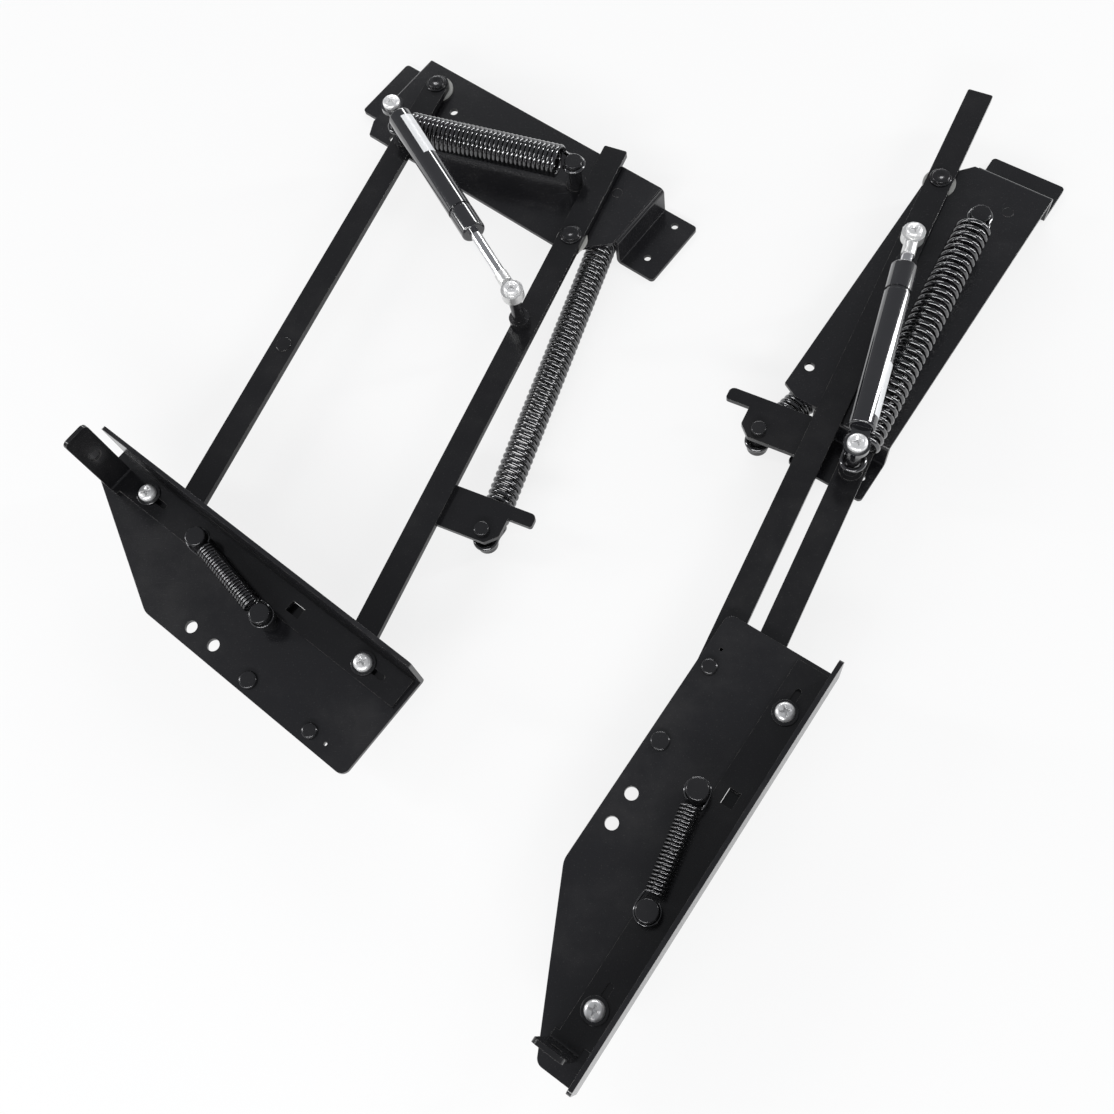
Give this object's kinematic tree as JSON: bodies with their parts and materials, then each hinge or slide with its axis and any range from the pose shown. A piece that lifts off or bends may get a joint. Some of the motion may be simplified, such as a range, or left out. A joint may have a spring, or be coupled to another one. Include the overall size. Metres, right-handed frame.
{
  "type": "lift top table mechanism",
  "caption": "Pair of spring-assisted parallelogram lift arms for a table top that rises and comes forward, with damping strut, release bar and top bracket.",
  "frame": {"origin": "centre of the bounding box of the pair, on the plane of the top brackets' feet", "axes": "+Z is out of the side plates, along every pivot; +X and +Y lie in the side plates' plane, as the picture shows right and up"},
  "size_m": [0.7044, 0.7942, 0.109],
  "materials": {
    "black_paint": "gloss black electro-coat on pressed steel",
    "spring_black": "gloss black coated spring steel",
    "zinc": "bright zinc plate",
    "bolt_black": "black oxide, satin",
    "washer_plastic": "natural nylon",
    "strut_paint": "gloss black tube",
    "rod_chrome": "ground and plated",
    "eye_steel": "zinc plated, satin"
  },
  "bodies": {
    "base": {"left_front_arm": "black_paint", "left_strut_post": "bolt_black", "left_strut_post_screw": "zinc", "right_side_plate": "black_paint", "right_guide_screws": "zinc", "right_guide_washers": "bolt_black", "right_latch_plate_post": "bolt_black", "right_latch_spring": "spring_black", "right_lower_pivot_pins": "bolt_black", "right_lower_pivot_washers": "bolt_black", "right_stop_rivet": "bolt_black"},
    "left_side_plate": {"left_side_plate": "black_paint", "left_guide_screws": "zinc", "left_guide_washers": "bolt_black", "left_latch_plate_post": "bolt_black", "left_latch_spring": "spring_black", "left_lower_pivot_pins": "bolt_black", "left_lower_pivot_washers": "bolt_black", "left_stop_rivet": "bolt_black"},
    "left_latch_bar": {"left_latch_bar": "black_paint", "left_latch_bar_post": "bolt_black"},
    "left_rear_arm": {"left_rear_arm": "black_paint", "left_spring_plate": "black_paint", "left_strut_stud": "bolt_black", "left_long_spring_bolt": "bolt_black"},
    "left_top_bracket": {"left_top_bracket": "black_paint", "left_top_pivot_bolts": "bolt_black", "left_top_pivot_washers": "washer_plastic", "left_short_spring_post": "bolt_black", "left_long_spring_post": "bolt_black"},
    "left_strut_cylinder": {"left_strut_cylinder": "strut_paint"},
    "left_strut_rod": {"left_strut_rod": "rod_chrome", "left_strut_eye": "eye_steel", "left_strut_eye_screw": "zinc"},
    "left_short_spring": {"left_short_lift_spring": "spring_black"},
    "left_short_spring_end": {"left_short_spring_pin": "bolt_black"},
    "left_long_spring": {"left_long_lift_spring": "spring_black"},
    "left_long_spring_end": {"left_long_spring_pin": "bolt_black"},
    "right_latch_bar": {"right_latch_bar": "black_paint", "right_latch_bar_post": "bolt_black"},
    "right_front_arm": {"right_front_arm": "black_paint", "right_strut_post": "bolt_black", "right_strut_post_screw": "zinc"},
    "right_rear_arm": {"right_rear_arm": "black_paint", "right_spring_plate": "black_paint", "right_strut_stud": "bolt_black", "right_long_spring_bolt": "bolt_black"},
    "right_top_bracket": {"right_top_bracket": "black_paint", "right_top_pivot_bolts": "bolt_black", "right_top_pivot_washers": "washer_plastic", "right_short_spring_post": "bolt_black", "right_long_spring_post": "bolt_black"},
    "right_strut_cylinder": {"right_strut_cylinder": "strut_paint"},
    "right_strut_rod": {"right_strut_rod": "rod_chrome", "right_strut_eye": "eye_steel", "right_strut_eye_screw": "zinc"},
    "right_short_spring": {"right_short_lift_spring": "spring_black"},
    "right_short_spring_end": {"right_short_spring_pin": "bolt_black"},
    "right_long_spring": {"right_long_lift_spring": "spring_black"},
    "right_long_spring_end": {"right_long_spring_pin": "bolt_black"}
  },
  "joints": [
    {"name": "left_lift", "type": "hinge", "parent": "base", "child": "left_side_plate", "pos_m": [-0.28984, -0.0334, 0.0315], "axis": [0, 0, -1], "range_deg": [-112.1, 0]},
    {"name": "left_rear_swing", "type": "hinge", "parent": "left_side_plate", "child": "left_rear_arm", "pos_m": [-0.17812, -0.18725, 0.0315], "axis": [0, 0, 1], "range_deg": [-112.1, 0]},
    {"name": "left_bracket_level", "type": "hinge", "parent": "base", "child": "left_top_bracket", "pos_m": [-0.12753, 0.34528, 0.0315], "axis": [0, 0, -1], "range_deg": [-112.1, 0]},
    {"name": "left_strut_swing", "type": "hinge", "parent": "base", "child": "left_strut_cylinder", "pos_m": [-0.15078, 0.29105, 0.072], "axis": [0, 0, 1], "range_deg": [0, 118.53]},
    {"name": "left_strut_slide", "type": "slide", "parent": "left_strut_cylinder", "child": "left_strut_rod", "axis": [0.4957, -0.8685, 0], "range_m": [-0.03288, 0]},
    {"name": "left_short_spring_swing", "type": "hinge", "parent": "base", "child": "left_short_spring", "pos_m": [-0.15078, 0.29105, 0.05], "axis": [0, 0, 1], "range_deg": [0, 88.55]},
    {"name": "left_short_spring_stretch", "type": "slide", "parent": "left_short_spring", "child": "left_short_spring_end", "axis": [0.9447, -0.3278, 0], "range_m": [0, 0.06647], "deforming": ["left_short_lift_spring"]},
    {"name": "left_long_spring_swing", "type": "hinge", "parent": "left_rear_arm", "child": "left_long_spring", "pos_m": [-0.0736, -0.04492, 0.0125], "axis": [0, 0, 1], "range_deg": [0, 16.91]},
    {"name": "left_long_spring_stretch", "type": "slide", "parent": "left_long_spring", "child": "left_long_spring_end", "axis": [0.3141, 0.9494, 0], "range_m": [-0.04056, 0], "deforming": ["left_long_lift_spring"]},
    {"name": "left_release", "type": "slide", "parent": "left_side_plate", "child": "left_latch_bar", "axis": [0.7965, -0.6046, 0], "range_m": [-0.012, 0], "stiffness_N_per_m": 300, "springref_m": 0.02, "deforming": ["left_latch_spring"]},
    {"name": "right_lift", "type": "hinge", "parent": "base", "child": "right_front_arm", "pos_m": [0.02406, -0.3295, 0.0315], "axis": [0, 0, -1], "range_deg": [0, 112.1]},
    {"name": "right_rear_swing", "type": "hinge", "parent": "base", "child": "right_rear_arm", "pos_m": [0.07897, -0.14748, 0.0315], "axis": [0, 0, -1], "range_deg": [0, 112.1]},
    {"name": "right_bracket_level", "type": "hinge", "parent": "right_front_arm", "child": "right_top_bracket", "pos_m": [0.20143, 0.04236, 0.0315], "axis": [0, 0, -1], "range_deg": [-112.1, 0]},
    {"name": "right_strut_swing", "type": "hinge", "parent": "right_front_arm", "child": "right_strut_cylinder", "pos_m": [0.17603, -0.01089, 0.072], "axis": [0, 0, -1], "range_deg": [-118.53, 0]},
    {"name": "right_strut_slide", "type": "slide", "parent": "right_strut_cylinder", "child": "right_strut_rod", "axis": [0.2915, 0.9566, 0], "range_m": [0, 0.03288]},
    {"name": "right_short_spring_swing", "type": "hinge", "parent": "right_front_arm", "child": "right_short_spring", "pos_m": [0.17603, -0.01089, 0.05], "axis": [0, 0, -1], "range_deg": [-88.55, 0]},
    {"name": "right_short_spring_stretch", "type": "slide", "parent": "right_short_spring", "child": "right_short_spring_end", "axis": [0.4712, 0.882, 0], "range_m": [-0.06647, 0], "deforming": ["right_short_lift_spring"]},
    {"name": "right_long_spring_swing", "type": "hinge", "parent": "right_rear_arm", "child": "right_long_spring", "pos_m": [0.11691, 0.02499, 0.0125], "axis": [0, 0, -1], "range_deg": [-16.91, 0]},
    {"name": "right_long_spring_stretch", "type": "slide", "parent": "right_long_spring", "child": "right_long_spring_end", "axis": [0.7349, 0.6782, 0], "range_m": [0, 0.04056], "deforming": ["right_long_lift_spring"]},
    {"name": "right_release", "type": "slide", "parent": "base", "child": "right_latch_bar", "axis": [0.5534, 0.8329, 0], "range_m": [-0.012, 0], "stiffness_N_per_m": 300, "springref_m": 0.02, "deforming": ["right_latch_spring"]}
  ],
  "couplings": [
    {"joint": "left_rear_swing", "follows": "left_lift", "ratio": 1},
    {"joint": "left_bracket_level", "follows": "left_lift", "ratio": 1},
    {"joint": "left_strut_swing", "follows": "left_lift", "ratio": -1.0574},
    {"joint": "left_strut_slide", "follows": "left_lift", "m_per_rad": 0.016806},
    {"joint": "left_short_spring_swing", "follows": "left_lift", "ratio": -0.7899},
    {"joint": "left_short_spring_stretch", "follows": "left_lift", "m_per_rad": -0.033972},
    {"joint": "left_long_spring_swing", "follows": "left_lift", "ratio": -0.15081},
    {"joint": "left_long_spring_stretch", "follows": "left_lift", "m_per_rad": 0.020729},
    {"joint": "right_rear_swing", "follows": "right_lift", "ratio": 1},
    {"joint": "right_bracket_level", "follows": "right_lift", "ratio": -1},
    {"joint": "right_strut_swing", "follows": "right_lift", "ratio": -1.0574},
    {"joint": "right_strut_slide", "follows": "right_lift", "m_per_rad": 0.016806},
    {"joint": "right_short_spring_swing", "follows": "right_lift", "ratio": -0.7899},
    {"joint": "right_short_spring_stretch", "follows": "right_lift", "m_per_rad": -0.033972},
    {"joint": "right_long_spring_swing", "follows": "right_lift", "ratio": -0.15081},
    {"joint": "right_long_spring_stretch", "follows": "right_lift", "m_per_rad": 0.020729}
  ]
}
